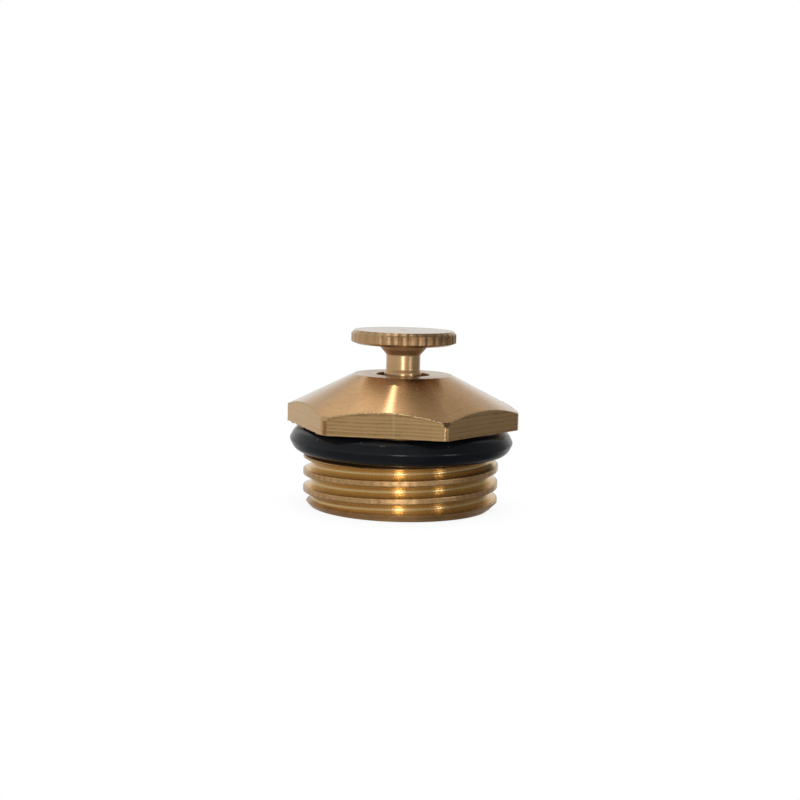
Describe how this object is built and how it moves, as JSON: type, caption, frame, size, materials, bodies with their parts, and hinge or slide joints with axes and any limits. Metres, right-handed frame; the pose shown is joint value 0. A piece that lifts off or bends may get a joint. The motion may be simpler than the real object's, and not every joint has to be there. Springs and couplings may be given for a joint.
{
  "type": "adjustable spray nozzle",
  "caption": "Brass spray nozzle with a hexagonal conical body, a male pipe thread with a rubber ring under the flange, and a knurled pin that screws in the mouth to set the spray.",
  "frame": {"origin": "centre of the inlet end face, at the bottom of the threaded spigot", "axes": "+Z along the water's path, up out of the mouth and through the knurled head; two corners of the hexagon lie on +X and -X"},
  "size_m": [0.025, 0.0236, 0.0188],
  "materials": {
    "turned_brass": "turned, with fine lathe lines and milled flats",
    "bridge_brass": "turned",
    "pin_brass": "turned, with a straight-knurled rim",
    "clip_steel": "plain spring steel",
    "ring_rubber": "smooth, slightly glossy"
  },
  "bodies": {
    "housing": {"nozzle_body": "turned_brass", "pin_bridge": "bridge_brass", "flange_o_ring": "ring_rubber"},
    "pin_carrier": {"pin_stop_clip": "clip_steel"},
    "pin": {"adjusting_pin": "pin_brass"}
  },
  "joints": [
    {"name": "pin_travel", "type": "slide", "parent": "housing", "child": "pin_carrier", "axis": [0, 0, 1], "range_m": [-0.00318, 0.00174]},
    {"name": "pin_turn", "type": "hinge", "parent": "pin_carrier", "child": "pin", "pos_m": [0, 0, 0], "axis": [0, 0, 1], "range_deg": [-1636, 895]}
  ],
  "couplings": [
    {"joint": "pin_turn", "follows": "pin_travel", "rad_per_m": 8976}
  ]
}
